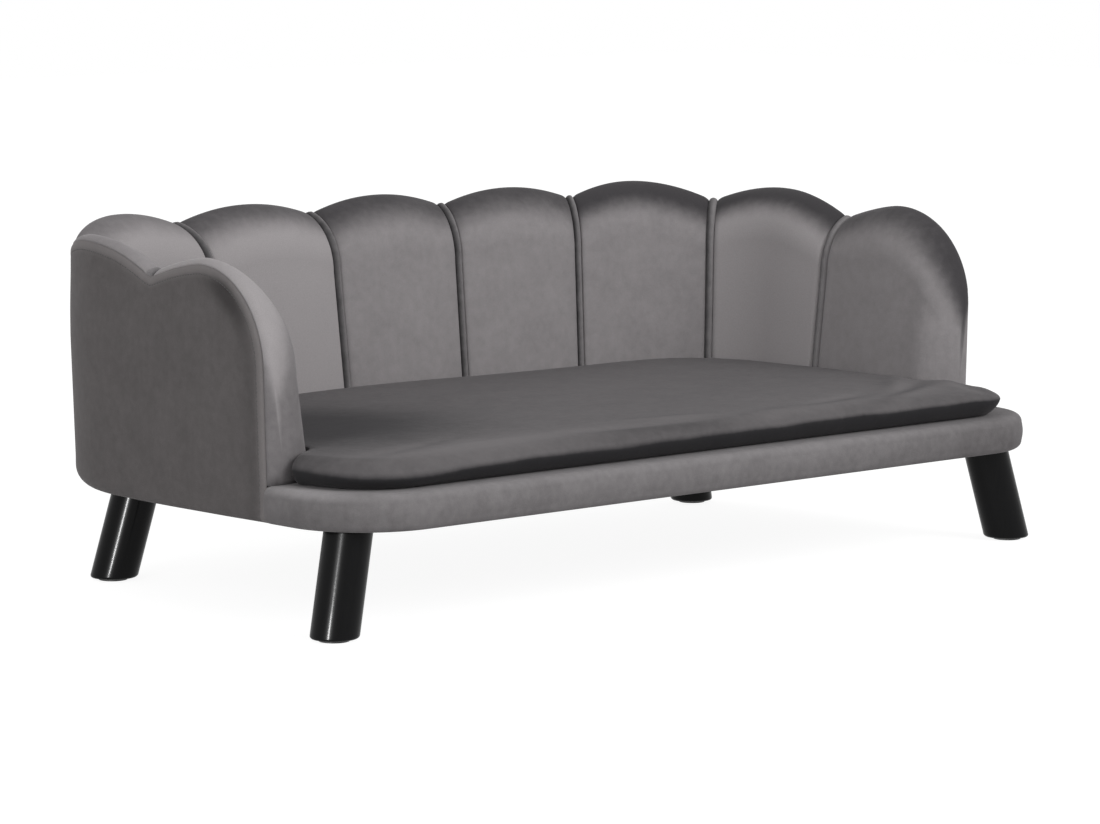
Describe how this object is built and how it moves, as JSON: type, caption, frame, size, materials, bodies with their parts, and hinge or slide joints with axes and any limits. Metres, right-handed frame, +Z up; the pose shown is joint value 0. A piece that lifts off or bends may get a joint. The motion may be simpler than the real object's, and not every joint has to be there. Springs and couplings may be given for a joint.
{
  "type": "dog sofa bed",
  "caption": "Low pet sofa: scalloped channelled wall round three sides of a platform, loose T-shaped cushion, splayed black legs.",
  "frame": {"origin": "on the floor, under the middle of the sofa", "axes": "+X along the sofa to its right as seen from the front, +Y to its back, +Z up"},
  "size_m": [0.9851, 0.56, 0.3682],
  "materials": {
    "pine": "sawn softwood, untreated",
    "plywood": "bare sheet, sanded",
    "zinc_steel": "zinc plated",
    "black_lacquer": "turned wood under a glossy black lacquer",
    "black_nylon": "moulded, matt",
    "black_nonwoven": "thin bonded cloth",
    "foam": "cut foam",
    "grey_velvet": "short pile velvet with a soft sheen",
    "dark_velvet": "short pile velvet with a soft sheen",
    "zip_nylon": "woven tape with coil teeth",
    "zip_metal": "die cast, enamelled"
  },
  "bodies": {
    "sofa": {"front_rail": "pine", "rear_rail": "pine", "left_rail": "pine", "right_rail": "pine", "cross_rails": "pine", "corner_blocks": "pine", "wall_rail": "pine", "wall_ribs": "pine", "crown_blocks": "pine", "base_board": "plywood", "outer_skin": "plywood", "inner_skin": "plywood", "tee_nuts": "zinc_steel", "hanger_bolts": "zinc_steel", "wall_screws": "zinc_steel", "leg_front_left": "black_lacquer", "leg_front_right": "black_lacquer", "leg_rear_left": "black_lacquer", "leg_rear_right": "black_lacquer", "leg_glides": "black_nylon", "dust_cover": "black_nonwoven", "platform_foam": "foam", "platform_cover": "grey_velvet", "outer_panel": "grey_velvet", "arm_channel_front_left": "grey_velvet", "arm_channel_rear_left": "grey_velvet", "corner_channel_left": "grey_velvet", "back_channel_left": "grey_velvet", "back_channel_middle": "grey_velvet", "back_channel_right": "grey_velvet", "corner_channel_right": "grey_velvet", "arm_channel_rear_right": "grey_velvet", "arm_channel_front_right": "grey_velvet", "seam_strip_1": "grey_velvet", "seam_strip_2": "grey_velvet", "seam_strip_3": "grey_velvet", "seam_strip_4": "grey_velvet", "seam_strip_5": "grey_velvet", "seam_strip_6": "grey_velvet", "seam_strip_7": "grey_velvet", "seam_strip_8": "grey_velvet"},
    "cushion": {"cushion_foam": "foam", "cushion_cover": "dark_velvet", "zip_tape": "zip_nylon"},
    "zip_slider": {"zip_slider": "zip_metal"}
  },
  "joints": [
    {"name": "cushion_lift", "type": "slide", "parent": "sofa", "child": "cushion", "axis": [0, 0, 1], "range_m": [0, 0.25]},
    {"name": "zip_slide", "type": "slide", "parent": "cushion", "child": "zip_slider", "axis": [1, 0, 0], "range_m": [0, 0.385]}
  ]
}
